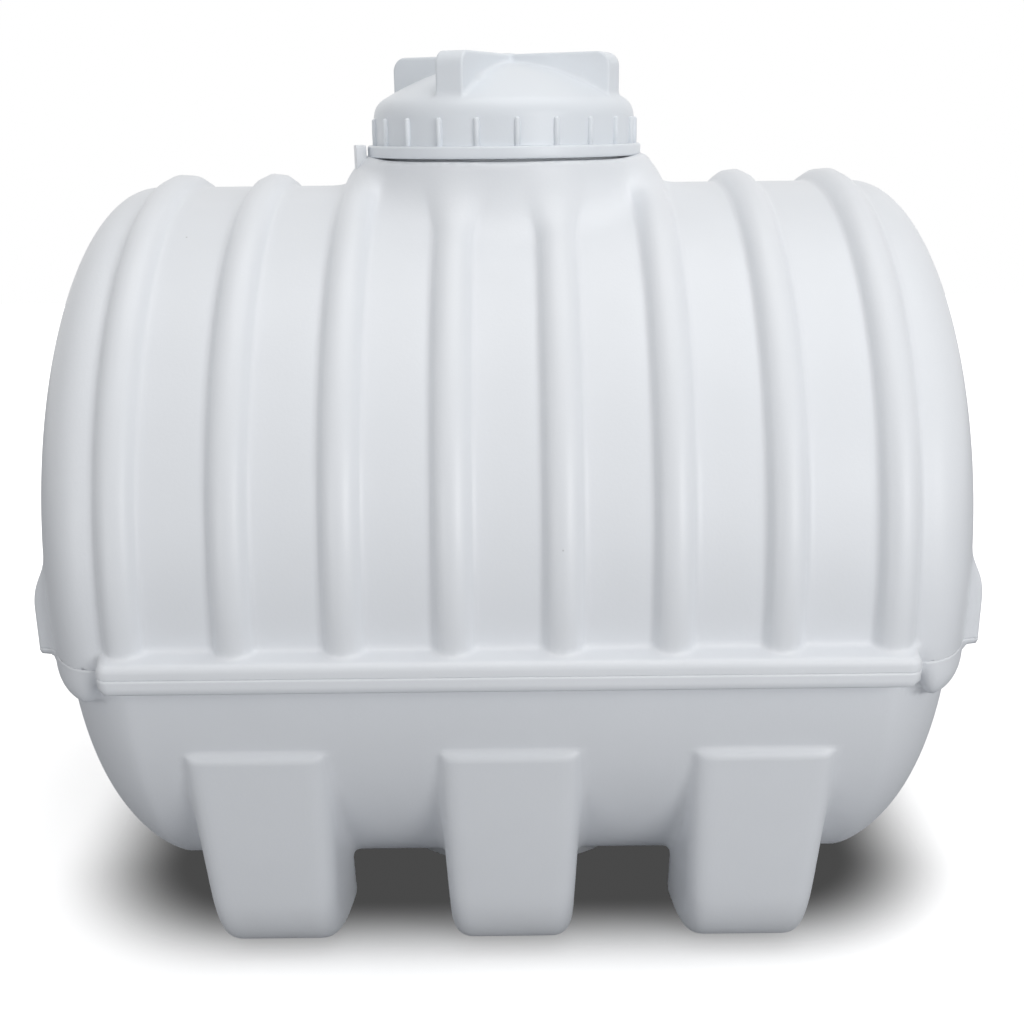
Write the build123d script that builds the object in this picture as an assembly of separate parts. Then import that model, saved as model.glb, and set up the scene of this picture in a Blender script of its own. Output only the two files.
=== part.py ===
from build123d import *
import math
import os

# Horizontal water tank, moulded in polyethylene, with a screwed manway lid.
# Millimetres. +X runs along the tank, the front faces -Y and +Z is up.
# The origin is on the ground under the middle of the tank.

# Shell
wall = 8.0
seam_height = 540.0
upper_radius = 510.0
upper_axis_height = 586.0
lower_radius = 490.0
lower_axis_height = 516.0

# Ribs over the upper shell
rib_count = 8
rib_pitch = 140.0
rib_width = 60.0
rib_height = 14.0
rib_root_radius = 12.0

# Ends
dome_skirt = 12.0
dome_depth = 120.0
dome_shoulder_pull = 0.56
dome_crown_pull = 0.84
lower_dome_start = 508.0
lower_dome_depth = 112.0

# Rolled shoulder under the seam, round each end
shoulder_height = 50.0
shoulder_roll_radius = 28.0
shoulder_start = 500.0

# Ledges along the seam
ledge_front = 583.0
ledge_half_length = 518.0
ledge_top = 558.0
ledge_bottom = 520.0
ledge_corner_radius = 55.0
ledge_edge_radius = 10.0

# Feet
foot_pitch = 360.0
foot_width = 203.0
foot_toe = 332.0
foot_toe_height = 376.0
foot_lean = 0.364
foot_heel = 180.0
foot_corner_radius = 32.0
foot_edge_radius = 10.0

# Lifting lugs at the ends
lug_offset = 434.0
lug_width = 72.0
lug_reach = 630.0
lug_bottom = 529.0
lug_height = 108.0
lug_depth = 60.0
lug_brow = 40.0
lug_edge_radius = 16.0

# Manway neck
bore_radius = 177.0
throat_radius = 185.0
throat_top = 1180.0
neck_radius = 202.0
neck_top = 1126.0
neck_flare_radius = 35.0
neck_patch_radius = 250.0

# Lock lug beside the lid
lock_lug_bearing = 197.0
lock_lug_width = 90.0
lock_lug_thickness = 9.0
lock_lug_bottom = 1104.0
lock_lug_top = 1156.0
lock_lug_corner_radius = 12.0

# Lid
thread_clearance = 2.0
lid_clearance = 5.0
seat_gap = 0.3
lid_skirt_wall = 8.0
lid_bottom = 1138.0
lid_flange_radius = 206.0
lid_flange_thickness = 17.0
lid_skirt_top = 1196.0
lid_shoulder_radius = 24.0
lid_shoulder_rise = 18.0
lid_crown_height = 1272.0
lid_crown_wall = 6.0
seal_thickness = 5.0

# Grip ribs round the lid's skirt
grip_rib_count = 22
grip_rib_width = 7.0
grip_rib_depth = 5.0
grip_rib_height = 34.0

# Cross of hand grips on the lid
grip_bearing = -25.0
grip_reach = 166.0
grip_width = 43.0
grip_top = 1284.0
grip_corner_radius = 20.0
grip_edge_radius = 4.0

# Sizes worked out from the ones above
far = 3.0 * upper_radius
crown_height = upper_axis_height + upper_radius
lid_skirt_inner = throat_radius + thread_clearance
lid_skirt_outer = lid_skirt_inner + lid_skirt_wall
rib_half = rib_width / 2
rib_places = [(index - (rib_count - 1) / 2) * rib_pitch for index in range(rib_count)]
barrel_end = rib_places[-1] + rib_half
dome_start = barrel_end + dome_skirt
lower_barrel_end = lower_dome_start - dome_skirt


def axis_along_tank(height):
    """The line along the tank at a height."""
    return Axis((0, 0, height), (1, 0, 0))


def block(x_low, x_high, y_low, y_high, z_low, z_high):
    """A box between two corners."""
    size = (x_high - x_low, y_high - y_low, z_high - z_low)
    return Pos(x_low, y_low, z_low) * Box(*size, align=(Align.MIN, Align.MIN, Align.MIN))


def above(height):
    """All space over a level."""
    return block(-far, far, -far, far, height, height + far)


def below(height):
    """All space under a level."""
    return block(-far, far, -far, far, height - far, height)


def upright(radius, z_low, z_high):
    """An upright cylinder on the manway's axis."""
    tall = z_high - z_low
    return Pos(0, 0, z_low) * Cylinder(radius, tall, align=(Align.CENTER, Align.CENTER, Align.MIN))


def lying(radius, x_low, x_high, height):
    """A cylinder along the tank."""
    barrel = Cylinder(radius, x_high - x_low, align=(Align.CENTER, Align.CENTER, Align.MIN))
    return Pos(x_low, 0, height) * Rot(0, 90, 0) * barrel


def rib_curve(place, depth):
    """The rib's section at a depth under its outer skin: root, crown and root arcs."""
    half = rib_width / 2
    turn = 2 * math.atan(rib_height / half)
    crown_radius = half / math.sin(turn) - rib_root_radius
    root = rib_root_radius + depth
    crown = crown_radius - depth
    root_height = upper_axis_height + upper_radius + rib_root_radius
    crown_centre = upper_axis_height + upper_radius + rib_height - crown_radius

    def root_point(side, angle):
        return (place + side * (half - root * math.sin(angle)), 0, root_height - root * math.cos(angle))

    top = (place, 0, crown_centre + crown)
    left = ThreePointArc(root_point(-1, 0), root_point(-1, turn / 2), root_point(-1, turn))
    middle = ThreePointArc(root_point(-1, turn), top, root_point(1, turn))
    right = ThreePointArc(root_point(1, turn), root_point(1, turn / 2), root_point(1, 0))
    return [left, middle, right]


def turned(edges, height):
    """A solid turned about a line along the tank."""
    return revolve(make_face(edges), axis_along_tank(height), 360)


def rib_ring(place):
    """One hollow rib as a full ring."""
    outer = rib_curve(place, 0)
    inner = rib_curve(place, wall)
    ends = [
        Line(outer[0] @ 0, inner[0] @ 0),
        Line(outer[2] @ 1, inner[2] @ 1),
    ]
    return turned(outer + inner + ends, upper_axis_height)


def rib_mass(place):
    """The space under a rib's outer skin, down to the wall's inner face."""
    outer = rib_curve(place, 0)
    left, right = outer[0] @ 0, outer[2] @ 1
    foot = Vector(0, 0, -wall)
    ends = [Line(left, left + foot), Line(left + foot, right + foot), Line(right + foot, right)]
    return turned(outer + ends, upper_axis_height)


def bay_ring(x_low, x_high):
    """The plain wall between two ribs as a full ring."""
    outer = lying(upper_radius, x_low, x_high, upper_axis_height)
    return outer - lying(upper_radius - wall, x_low - 1, x_high + 1, upper_axis_height)


def dome_curve(start, depth, radius, height):
    """A dished end's section, from the straight wall round to the crown."""
    points = [
        (start, 0, height + radius),
        (start + dome_shoulder_pull * depth, 0, height + radius),
        (start + depth, 0, height + dome_crown_pull * radius),
        (start + depth, 0, height),
    ]
    return Bezier(*points)


def dome_mass(back, start, depth, radius, height):
    """A solid dished end with its straight skirt from the plane at back."""
    curve = dome_curve(start, depth, radius, height)
    edges = [
        curve,
        Line((start + depth, 0, height), (back, 0, height)),
        Line((back, 0, height), (back, 0, height + radius)),
        Line((back, 0, height + radius), (start, 0, height + radius)),
    ]
    return turned(edges, height)


def dome_shell(back, start, depth, radius, height):
    """A dished end of the tank's wall."""
    outer = dome_mass(back, start, depth, radius, height)
    inner = dome_mass(back - 1, start, depth - wall, radius - wall, height)
    return outer - inner


def edge_reach(edge):
    """How far an edge comes from the manway's axis, at the most."""
    return max(math.hypot(point.X, point.Y) for point in edge.positions([0, 0.25, 0.5, 0.75, 1]))


def mirrored(part, plane):
    """The same piece on the other side."""
    return mirror(part, about=plane)


# The straight barrel and its ribs
upper_space = above(seam_height)
lower_space = below(seam_height)
upper_barrel = lying(upper_radius, -barrel_end, barrel_end, upper_axis_height) & upper_space
lower_barrel = lying(lower_radius, -lower_barrel_end, lower_barrel_end, lower_axis_height) & lower_space
lower_inside = lying(lower_radius - wall, -far, far, lower_axis_height)
patch = upright(neck_patch_radius, upper_axis_height, crown_height + far)

nodes = {}
for index, place in enumerate(rib_places):
    nodes[f"rib_{index + 1}"] = (rib_ring(place) & upper_space) - patch
for index, (left, right) in enumerate(zip(rib_places[:-1], rib_places[1:])):
    ring = bay_ring(left + rib_half, right - rib_half)
    nodes[f"wall_bay_{index + 1}"] = (ring & upper_space) - patch

# The ends
upper_end_mass = dome_mass(barrel_end, dome_start, dome_depth, upper_radius, upper_axis_height)
lower_end_mass = dome_mass(
    lower_barrel_end, lower_dome_start, lower_dome_depth, lower_radius, lower_axis_height
)
upper_end = dome_shell(barrel_end, dome_start, dome_depth, upper_radius, upper_axis_height)
lower_end = dome_shell(
    lower_barrel_end, lower_dome_start, lower_dome_depth, lower_radius, lower_axis_height
)
nodes["end_dome_right_upper"] = upper_end & upper_space
nodes["end_dome_left_upper"] = mirrored(nodes["end_dome_right_upper"], Plane.YZ)
nodes["end_dome_right_lower"] = lower_end & lower_space
nodes["end_dome_left_lower"] = mirrored(nodes["end_dome_right_lower"], Plane.YZ)

# The lower barrel in two halves
lower_front = (lower_barrel - lower_inside) & block(-far, far, -far, 0, -far, far)
nodes["lower_barrel_front"] = lower_front
nodes["lower_barrel_back"] = mirrored(lower_front, Plane.XZ)

# The ledges
ledge_root = lower_radius / 2
ledge_blank = block(
    -ledge_half_length, ledge_half_length, -ledge_front, -ledge_root, ledge_bottom, ledge_top
)
ledge_corners = ledge_blank.edges().filter_by(Axis.Z).group_by(Axis.Y)[0]
ledge_blank = fillet(ledge_corners, ledge_corner_radius)
ledge_rims = ledge_blank.faces().filter_by(Axis.Z).edges().filter_by(
    lambda edge: edge.center().Y < -ledge_root - 1
)
ledge_blank = fillet(ledge_rims, ledge_edge_radius)
left_lower_end_mass = mirrored(lower_end_mass, Plane.YZ)
ledge = ledge_blank - upper_barrel - lower_barrel - lower_end_mass - left_lower_end_mass
for place in rib_places:
    ledge = ledge - (rib_mass(place) & upper_space)

# The rolled shoulder round each end
end_with_barrel = dome_mass(
    shoulder_start, dome_start, dome_depth, upper_radius, upper_axis_height
)
outline = section(end_with_barrel, Plane.XY.offset(seam_height))
shoulder_blank = extrude(outline, amount=shoulder_height, dir=(0, 0, -1))
shoulder_rim = shoulder_blank.faces().sort_by(Axis.Z)[0].edges().filter_by(
    lambda edge: edge.center().X > dome_start + 1
)
shoulder_blank = fillet(shoulder_rim, shoulder_roll_radius)
shoulder = shoulder_blank - lower_end_mass - ledge - mirrored(ledge, Plane.XZ)
nodes["shoulder_right"] = shoulder
nodes["shoulder_left"] = mirrored(shoulder, Plane.YZ)
nodes["ledge_front"] = ledge
nodes["ledge_back"] = mirrored(ledge, Plane.XZ)

# The feet
def foot(place):
    """One moulded foot under the front of the belly."""
    side = Polyline(
        (place, -foot_heel, 0),
        (place, -foot_toe, 0),
        (place, -foot_toe - foot_lean * foot_toe_height, foot_toe_height),
        (place, -foot_heel, foot_toe_height),
        close=True,
    )
    blank = extrude(make_face(side), amount=foot_width / 2, dir=(1, 0, 0), both=True)
    corners = blank.edges().filter_by(lambda edge: abs(edge.center().X - place) > foot_width / 2 - 1)
    upright_corners = corners.filter_by(lambda edge: edge.length > foot_toe_height / 2)
    blank = fillet(upright_corners, foot_corner_radius)
    sole = blank.faces().sort_by(Axis.Z)[0]
    blank = fillet(sole.edges(), foot_edge_radius)
    return blank - lower_barrel - lower_end_mass - left_lower_end_mass


for name, place in (("left", -foot_pitch), ("middle", 0), ("right", foot_pitch)):
    front_foot = foot(place)
    nodes[f"foot_front_{name}"] = front_foot
    nodes[f"foot_back_{name}"] = mirrored(front_foot, Plane.XZ)


# The lifting lugs
def lug_space():
    """The hooded ear at the front right, before the dished end is taken from it."""
    root = lug_reach - lug_depth
    top = lug_bottom + lug_height
    hood = Plane.XZ * make_face(
        [
            Line((root, lug_bottom), (lug_reach, lug_bottom)),
            Line((lug_reach, lug_bottom), (lug_reach, lug_bottom + lug_brow)),
            Bezier(
                (lug_reach, lug_bottom + lug_brow),
                (lug_reach, top - lug_brow / 2),
                (root + lug_depth / 2, top),
                (root, top),
            ),
            Line((root, top), (root, lug_bottom)),
        ]
    )
    ear = extrude(hood, amount=lug_width / 2, both=True)
    ear = Pos(0, -lug_offset, 0) * ear
    flanks = ear.edges().filter_by(lambda edge: edge.center().X > root + lug_depth / 2)
    flanks = flanks.filter_by(lambda edge: abs(edge.center().Y + lug_offset) > lug_width / 2 - 1)
    return fillet(flanks, lug_edge_radius)


lug = lug_space() - (end_with_barrel & upper_space) - shoulder - lower_end_mass
nodes["lug_front_right"] = lug
nodes["lug_front_left"] = mirrored(lug, Plane.YZ)
nodes["lug_back_right"] = mirrored(lug, Plane.XZ)
nodes["lug_back_left"] = mirrored(nodes["lug_back_right"], Plane.YZ)

# The manway neck, with the flare and the wall round its foot
neck_floor = upper_axis_height + math.sqrt(upper_radius ** 2 - neck_patch_radius ** 2) - 2 * wall
patch_wall = lying(upper_radius, -neck_patch_radius, neck_patch_radius, upper_axis_height)
patch_wall = patch_wall & upright(neck_patch_radius, neck_floor, crown_height + 1)
flare = patch_wall + upright(neck_radius, neck_floor, neck_top + 2 * neck_flare_radius)
flare_edges = flare.edges().filter_by(
    lambda edge: neck_floor + 1 < edge.center().Z < crown_height + 1 and edge_reach(edge) < neck_radius + 1
)
flare = fillet(flare_edges, neck_flare_radius) & upright(neck_patch_radius, neck_floor, neck_top)
for place in rib_places:
    if abs(place) < neck_patch_radius + rib_half:
        crossing = rib_mass(place) & upright(neck_patch_radius, neck_floor, neck_top)
        flare = flare + crossing
neck = flare + upright(throat_radius, neck_floor, throat_top)
neck = neck - lying(upper_radius - wall, -far, far, upper_axis_height)
neck = neck - upright(bore_radius, neck_floor - wall, throat_top + 1)
nodes["manway_neck"] = neck

# The lock lug: a bracket on the neck's rim that stands up beside the lid's flange
lock_inner = lid_flange_radius + lid_clearance
lock_outer = lock_inner + lock_lug_thickness
lock_shelf = lid_bottom - lid_clearance
lock_ring = upright(lock_outer, lock_lug_bottom, lock_lug_top) - upright(lock_inner, lock_shelf, far)
lock_sector = block(throat_radius, far, -lock_lug_width / 2, lock_lug_width / 2, 0, far)
lock_shape = Rot(0, 0, lock_lug_bearing) * (lock_ring & lock_sector)
nodes["lock_lug"] = lock_shape - neck - upright(neck_radius, 0, lock_shelf)

# The lid
skirt_points = [
    (lid_skirt_inner, 0, lid_bottom),
    (lid_skirt_outer, 0, lid_bottom),
    (lid_skirt_outer, 0, lid_skirt_top),
]
shoulder_end = (lid_skirt_outer - lid_shoulder_radius, 0, lid_skirt_top + lid_shoulder_rise)
crown_top = (0, 0, lid_crown_height)
inner_top = (0, 0, lid_crown_height - lid_crown_wall)
inner_shoulder = (lid_skirt_inner - lid_shoulder_radius, 0, lid_skirt_top + lid_shoulder_rise - lid_crown_wall)
inner_skirt = (lid_skirt_inner, 0, lid_skirt_top)
outer_shoulder_arc = Bezier(
    skirt_points[2], (lid_skirt_outer, 0, lid_skirt_top + lid_shoulder_rise * 0.7), shoulder_end
)
outer_crown_arc = Bezier(shoulder_end, (lid_skirt_outer / 2, 0, lid_crown_height), crown_top)
inner_shoulder_arc = Bezier(
    inner_skirt, (lid_skirt_inner, 0, lid_skirt_top + lid_shoulder_rise * 0.7 - lid_crown_wall), inner_shoulder
)
inner_crown_arc = Bezier(
    inner_shoulder, (lid_skirt_inner / 2, 0, lid_crown_height - lid_crown_wall), inner_top
)
cap_section = make_face(
    [
        Line(skirt_points[0], skirt_points[1]),
        Line(skirt_points[1], skirt_points[2]),
        outer_shoulder_arc,
        outer_crown_arc,
        Line(crown_top, inner_top),
        inner_crown_arc,
        inner_shoulder_arc,
        Line(inner_skirt, skirt_points[0]),
    ]
)
cap_mass_section = make_face(
    [
        Line((0, 0, lid_bottom), skirt_points[1]),
        Line(skirt_points[1], skirt_points[2]),
        outer_shoulder_arc,
        outer_crown_arc,
        Line(crown_top, (0, 0, lid_bottom)),
    ]
)
nodes["lid_cap"] = revolve(cap_section, Axis.Z, 360)
cap_mass = revolve(cap_mass_section, Axis.Z, 360)
flange_top = lid_bottom + lid_flange_thickness
flange = upright(lid_flange_radius, lid_bottom, flange_top)
nodes["lid_flange"] = flange - upright(lid_skirt_outer, 0, far)

grip_ribs = []
for index in range(grip_rib_count):
    rib = block(
        lid_skirt_outer - grip_rib_depth,
        lid_skirt_outer + grip_rib_depth,
        -grip_rib_width / 2,
        grip_rib_width / 2,
        flange_top,
        flange_top + grip_rib_height,
    )
    rib = rib - upright(lid_skirt_outer, 0, far)
    grip_ribs.append(Rot(0, 0, (index + 0.5) * 360 / grip_rib_count) * rib)
nodes["lid_grip_ribs"] = Compound(children=[rib.solid() for rib in grip_ribs])


def grip_bar(bearing):
    """One bar of the cross on the lid, from rim to rim."""
    bar = block(-grip_reach, grip_reach, -grip_width / 2, grip_width / 2, lid_skirt_top, grip_top)
    tips = bar.edges().filter_by(Axis.Y).filter_by(lambda edge: edge.center().Z > grip_top - 1)
    return Rot(0, 0, bearing) * fillet(tips, grip_corner_radius)


nodes["lid_grip_cross"] = (grip_bar(grip_bearing) + grip_bar(grip_bearing + 90)) - cap_mass

# The seal inside the lid, over the throat's lip
seal_top = throat_top + seat_gap + seal_thickness
seal = upright(lid_skirt_inner - 0.5, throat_top + seat_gap, seal_top) - upright(bore_radius, 0, far)
nodes["lid_seal"] = seal


def main():
    """Write one file per piece."""
    os.makedirs("parts", exist_ok=True)
    for name, solid in nodes.items():
        export_step(solid, f"parts/{name}.step")


main()
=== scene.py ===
"""Dresses the horizontal water tank: its moulded skin, its manway, the screwed lid and the studio.

The moulding has no sharp joints, so its outer skin is shaped as one flowing surface. Each form of
the mould gives the distance to its own surface, and neighbouring forms melt into each other over a
stated width. A rough body is remeshed evenly and its vertices are then settled onto that surface.
"""
import logging
import math
from abc import ABC, abstractmethod
from collections.abc import Callable
from dataclasses import dataclass
from enum import Enum

import bmesh
import bpy
import numpy as np
from mathutils import Matrix, Vector


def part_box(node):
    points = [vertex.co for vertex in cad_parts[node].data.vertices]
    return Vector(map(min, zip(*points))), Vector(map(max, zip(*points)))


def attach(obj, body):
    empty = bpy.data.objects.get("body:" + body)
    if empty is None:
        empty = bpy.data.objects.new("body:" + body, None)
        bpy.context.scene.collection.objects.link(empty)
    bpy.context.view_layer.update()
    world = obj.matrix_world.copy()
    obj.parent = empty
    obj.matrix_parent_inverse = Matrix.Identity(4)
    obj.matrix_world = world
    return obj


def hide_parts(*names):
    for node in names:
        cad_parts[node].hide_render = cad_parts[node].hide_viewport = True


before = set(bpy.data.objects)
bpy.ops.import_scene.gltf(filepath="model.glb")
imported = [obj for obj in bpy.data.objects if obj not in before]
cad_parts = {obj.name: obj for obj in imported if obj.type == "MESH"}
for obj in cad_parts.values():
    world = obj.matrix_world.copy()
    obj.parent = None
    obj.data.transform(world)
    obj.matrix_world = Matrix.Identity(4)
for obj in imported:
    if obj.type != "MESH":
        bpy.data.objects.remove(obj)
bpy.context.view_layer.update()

log = logging.getLogger("water_tank")

Points = np.ndarray
Placing = Callable[[np.ndarray], np.ndarray]
NodeInput = bpy.types.NodeSocket | float
TANK_BODY = "tank"
LID_BODY = "lid"
FULL_TURN = 2.0 * math.pi
LEAST_STEEPNESS = 0.04
DISH_STEEPNESS = 1.2
AXIS_GUARD = 1e-4


class Side(Enum):
    """Which side of the mould's parting plane a skin belongs to."""

    UPPER = 1
    LOWER = -1


# Distances and how forms melt together


def melted(first: Points, second: Points, width: float | Points) -> Points:
    """Joins two distance fields with a soft valley between them.

    Args:
        first: Distances to one form.
        second: Distances to the other form.
        width: How far from the meeting line the two melt together, in metres.

    Returns:
        The distances to the joined form.
    """
    share = np.maximum(width - np.abs(first - second), 0.0) / width
    return np.minimum(first, second) - share * share * width / 4.0


def trimmed(first: Points, second: Points, width: float) -> Points:
    """Keeps what is inside both fields, with a rounded edge between them.

    Args:
        first: Distances to one form.
        second: Distances to the other form.
        width: The width of the rounded edge, in metres.

    Returns:
        The distances to what both forms hold.
    """
    return -melted(-first, -second, width)


def plate_distance(across: Points, through: Points, edge: float) -> Points:
    """Rounds the edge between a flat outline and the faces over and under it.

    Args:
        across: Distances to the outline, seen from above.
        through: Distances to the nearer face.
        edge: The radius of the edge, in metres.

    Returns:
        The distances to the plate.
    """
    outside = np.hypot(np.maximum(across + edge, 0.0), np.maximum(through + edge, 0.0))
    return outside + np.minimum(np.maximum(across, through) + edge, 0.0) - edge


def smooth_step(values: Points, start: float, end: float) -> Points:
    """Rises softly from 0 at the start to 1 at the end."""
    share = np.clip((values - start) / (end - start), 0.0, 1.0)
    return share * share * (3.0 - 2.0 * share)


class Form(ABC):
    """A shape that knows how far points are from its surface."""

    @abstractmethod
    def distance(self, points: Points) -> Points:
        """Gives the signed distance of each point, negative inside."""

    def slope(self, points: Points, reach: float = 0.0004) -> tuple[Points, Points]:
        """Measures the field and its gradient.

        Args:
            points: One row of coordinates a point.
            reach: Half the length over which the gradient is taken, in metres.

        Returns:
            The distances, and the gradient at each point.
        """
        gradient = np.empty_like(points)
        for axis in range(3):
            offset = np.zeros(3)
            offset[axis] = reach
            ahead = self.distance(points + offset)
            behind = self.distance(points - offset)
            gradient[:, axis] = (ahead - behind) / (2.0 * reach)
        return self.distance(points), gradient

    def settled(self, points: Points, rounds: int, stride: float = 0.008) -> Points:
        """Moves points onto the surface along the field's gradient.

        Args:
            points: One row of coordinates a point.
            rounds: How often the points move.
            stride: The farthest that a point moves in one round, in metres.

        Returns:
            The points after their moves.
        """
        moved = points.copy()
        for _ in range(rounds):
            distances, gradient = self.slope(moved)
            steepness = np.maximum((gradient * gradient).sum(axis=1), LEAST_STEEPNESS)
            travel = np.clip(distances / np.sqrt(steepness), -stride, stride)
            moved -= gradient * (travel / np.sqrt(steepness))[:, None]
        return moved


@dataclass(frozen=True)
class DishedBarrel(Form):
    """A round barrel lying along the tank, closed by dished ends."""

    radius: float
    axis_height: float
    straight_end: float
    dish_depth: float
    crown_power: float = 2.12
    rim_power: float = 3.08

    def radius_at(self, along: Points) -> Points:
        """Gives the barrel's radius at places along the tank."""
        share = np.clip((np.abs(along) - self.straight_end) / self.dish_depth, 0.0, 1.0)
        return self.radius * (1.0 - share**self.crown_power) ** (1.0 / self.rim_power)

    def shrunk(self, wall: float) -> "DishedBarrel":
        """Gives the inner face of a wall under this surface."""
        return DishedBarrel(
            self.radius - wall, self.axis_height, self.straight_end, self.dish_depth - wall
        )

    def outline_scale(self, across: Points, height: float) -> Points:
        """Finds how far flat directions reach to the surface at one height.

        Args:
            across: One row of x and y a direction.
            height: The height of the cut, in metres.

        Returns:
            The factor that brings each direction onto the surface.
        """
        low = np.zeros(len(across))
        high = np.full(len(across), 4.0)
        level = np.full(len(across), height)
        for _ in range(40):
            middle = (low + high) / 2.0
            tried = across * middle[:, None]
            outside = self.distance(np.column_stack([tried, level])) > 0.0
            high = np.where(outside, middle, high)
            low = np.where(outside, low, middle)
        return (low + high) / 2.0

    def distance(self, points: Points) -> Points:
        """Gives the signed distance to the barrel and its ends."""
        along = np.maximum(np.abs(points[:, 0]) - self.straight_end, 0.0) / self.dish_depth
        across = np.hypot(points[:, 1], points[:, 2] - self.axis_height) / self.radius
        across = np.maximum(across, AXIS_GUARD)
        level = along**self.crown_power + across**self.rim_power - 1.0
        slope_along = self.crown_power * along ** (self.crown_power - 1.0) / self.dish_depth
        slope_across = self.rim_power * across ** (self.rim_power - 1.0) / self.radius
        return level / np.maximum(np.hypot(slope_along, slope_across), DISH_STEEPNESS)


@dataclass(frozen=True)
class UpperBody(Form):
    """The upper barrel, drawn down under the seam as a rolled shoulder at the ends."""

    barrel: DishedBarrel
    seam_height: float
    shoulder_floor: float
    hidden_floor: float
    shoulder_start: float = 0.500
    shoulder_full: float = 0.560
    shoulder_roll: float = 0.046

    def distance(self, points: Points) -> Points:
        """Gives the signed distance to the body with its shoulder."""
        raised = points.copy()
        raised[:, 2] = np.maximum(points[:, 2], self.seam_height)
        body = self.barrel.distance(raised)
        turn = smooth_step(np.abs(points[:, 0]), self.shoulder_start, self.shoulder_full)
        floor = self.hidden_floor + (self.shoulder_floor - self.hidden_floor) * turn
        return trimmed(body, floor - points[:, 2], self.shoulder_roll)


@dataclass(frozen=True)
class Ribs(Form):
    """The raised ribs that run over the upper barrel."""

    places: tuple[float, ...]
    axis_height: float
    ring_radius: float
    cord_radius: float
    foot_height: float

    def distance(self, points: Points) -> Points:
        """Gives the signed distance to the nearest rib."""
        sides = np.abs(points[:, 0])
        offsets = np.min([np.abs(sides - place) for place in self.places], axis=0)
        across = np.hypot(points[:, 1], points[:, 2] - self.axis_height) - self.ring_radius
        cord = np.hypot(offsets, across) - self.cord_radius
        return np.maximum(cord, self.foot_height - points[:, 2])


@dataclass(frozen=True)
class Ledge(Form):
    """The ledges along the seam at the front and the back, with roofs that fall outwards."""

    half_length: float
    half_width: float
    bottom: float
    top: float
    root_depth: float
    root_height: float
    corner_radius: float
    edge_radius: float

    def distance(self, points: Points) -> Points:
        """Gives the signed distance to the plate that both ledges belong to."""
        along = np.abs(points[:, 0]) - (self.half_length - self.corner_radius)
        across = np.abs(points[:, 1]) - (self.half_width - self.corner_radius)
        outside = np.hypot(np.maximum(along, 0.0), np.maximum(across, 0.0))
        outline = outside + np.minimum(np.maximum(along, across), 0.0) - self.corner_radius
        fall = (self.root_height - self.top) / (self.half_width - self.root_depth)
        over = points[:, 2] - self.root_height + fall * (np.abs(points[:, 1]) - self.root_depth)
        through = np.maximum(over / math.hypot(1.0, fall), self.bottom - points[:, 2])
        return plate_distance(outline, through, self.edge_radius)


@dataclass(frozen=True)
class Feet(Form):
    """The six feet that carry the belly."""

    pitch: float
    sole_half_width: float
    draft: float
    splay: float
    toe: float
    lean: float
    heel: float
    heel_lean: float
    corner: float
    heel_corner: float
    toe_roll: float
    top: float

    def distance(self, points: Points) -> Points:
        """Gives the signed distance to the nearest foot."""
        nearest = np.clip(np.round(points[:, 0] / self.pitch), -1.0, 1.0) * self.pitch
        height = points[:, 2]
        depth = np.abs(points[:, 1])
        short = np.maximum(self.toe + self.lean * height - depth, 0.0)
        half_width = self.sole_half_width + self.draft * height + self.splay * short
        side = (np.abs(points[:, 0] - nearest) - half_width) / math.hypot(1.0, self.draft, self.splay)
        front = (depth - self.toe - self.lean * height) / math.hypot(1.0, self.lean)
        back = (self.heel + self.heel_lean * height - depth) / math.hypot(1.0, self.heel_lean)
        nose = trimmed(front, -height, self.toe_roll)
        block = trimmed(trimmed(side, nose, self.corner), back, self.heel_corner)
        return np.maximum(block, height - self.top)


@dataclass(frozen=True)
class Lugs(Form):
    """The four hooded ears at the corners of the ends."""

    offset: float
    half_width: float
    reach: float
    root: float
    bottom: float
    top: float
    brow_radius: float
    edge_radius: float

    def distance(self, points: Points) -> Points:
        """Gives the signed distance to the nearest ear."""
        along = np.abs(points[:, 0])
        beside = np.abs(np.abs(points[:, 1]) - self.offset) - self.half_width
        reach = along - (self.reach - self.brow_radius)
        rise = points[:, 2] - (self.top - self.brow_radius)
        brow = np.hypot(np.maximum(reach, 0.0), np.maximum(rise, 0.0))
        hood = brow + np.minimum(np.maximum(reach, rise), 0.0) - self.brow_radius
        hood = trimmed(hood, self.bottom - points[:, 2], self.edge_radius)
        hood = np.maximum(hood, self.root - along)
        return plate_distance(hood, beside, self.edge_radius)


@dataclass(frozen=True)
class Upright(Form):
    """An upright round post on the manway's axis."""

    radius: float
    top: float
    edge_radius: float

    def distance(self, points: Points) -> Points:
        """Gives the signed distance to the post, which has no lower end."""
        outline = np.hypot(points[:, 0], points[:, 1]) - self.radius
        return plate_distance(outline, points[:, 2] - self.top, self.edge_radius)


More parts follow.
